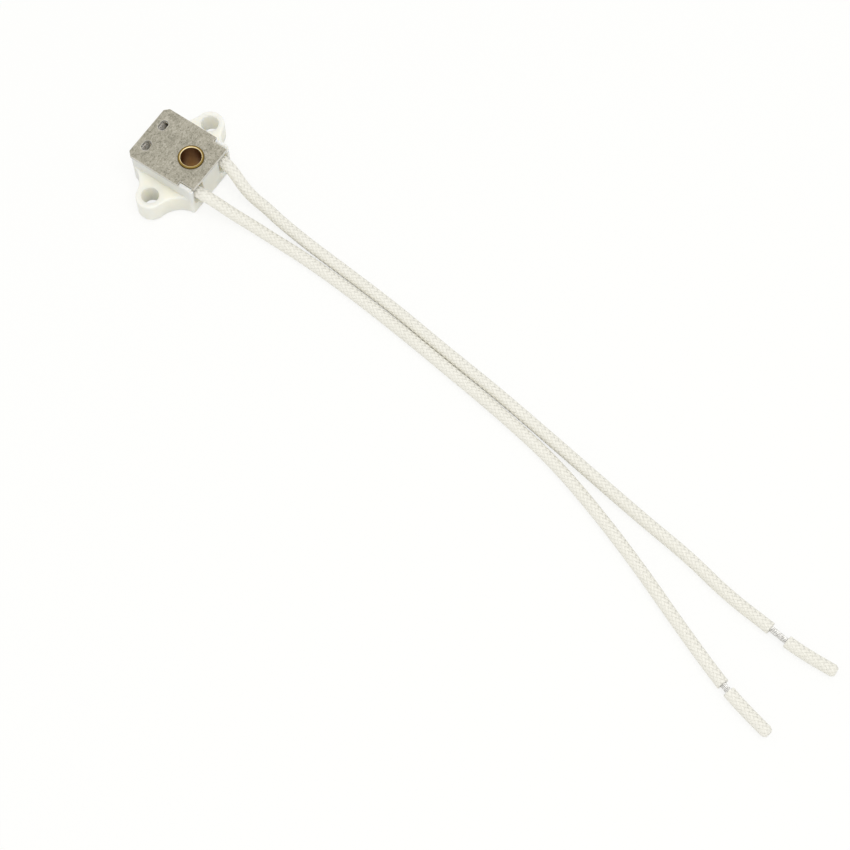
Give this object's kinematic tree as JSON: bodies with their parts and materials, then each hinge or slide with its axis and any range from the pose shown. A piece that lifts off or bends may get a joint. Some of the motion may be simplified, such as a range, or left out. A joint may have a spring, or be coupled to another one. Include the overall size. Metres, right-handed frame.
{
  "type": "halogen lamp holder",
  "caption": "Ceramic two-pin halogen lamp holder with mounting ears, a mica cover held by a hollow brass eyelet, and short braided leads with half-stripped ends.",
  "frame": {"origin": "midway between the two ear holes, at the bottom of the eyelet's back flange, on which the holder lies", "axes": "+X along the two ears, +Y towards the leads, +Z towards the mica face that the lamp plugs into"},
  "size_m": [0.0455, 0.162, 0.0092],
  "materials": {
    "ceramic": "fired steatite, smooth, semi-matt",
    "mica": "pressed silver-grey mica board, mottled, low sheen",
    "brass": "drawn brass, bright",
    "plated_contact": "nickel-plated strip",
    "spring_steel": "stainless spring strip",
    "glass_braid": "varnished glass-fibre braid",
    "tinned_wire": "tinned stranded wire"
  },
  "bodies": {
    "root": {"ceramic_body": "ceramic", "mica_cover": "mica", "eyelet": "brass", "contact_left": "plated_contact", "contact_right": "plated_contact", "grip_spring_left": "spring_steel", "grip_spring_right": "spring_steel", "lead_braid_left": "glass_braid", "lead_braid_right": "glass_braid", "conductor_left": "tinned_wire", "conductor_right": "tinned_wire", "tip_sleeve_left": "glass_braid", "tip_sleeve_right": "glass_braid"}
  },
  "joints": []
}
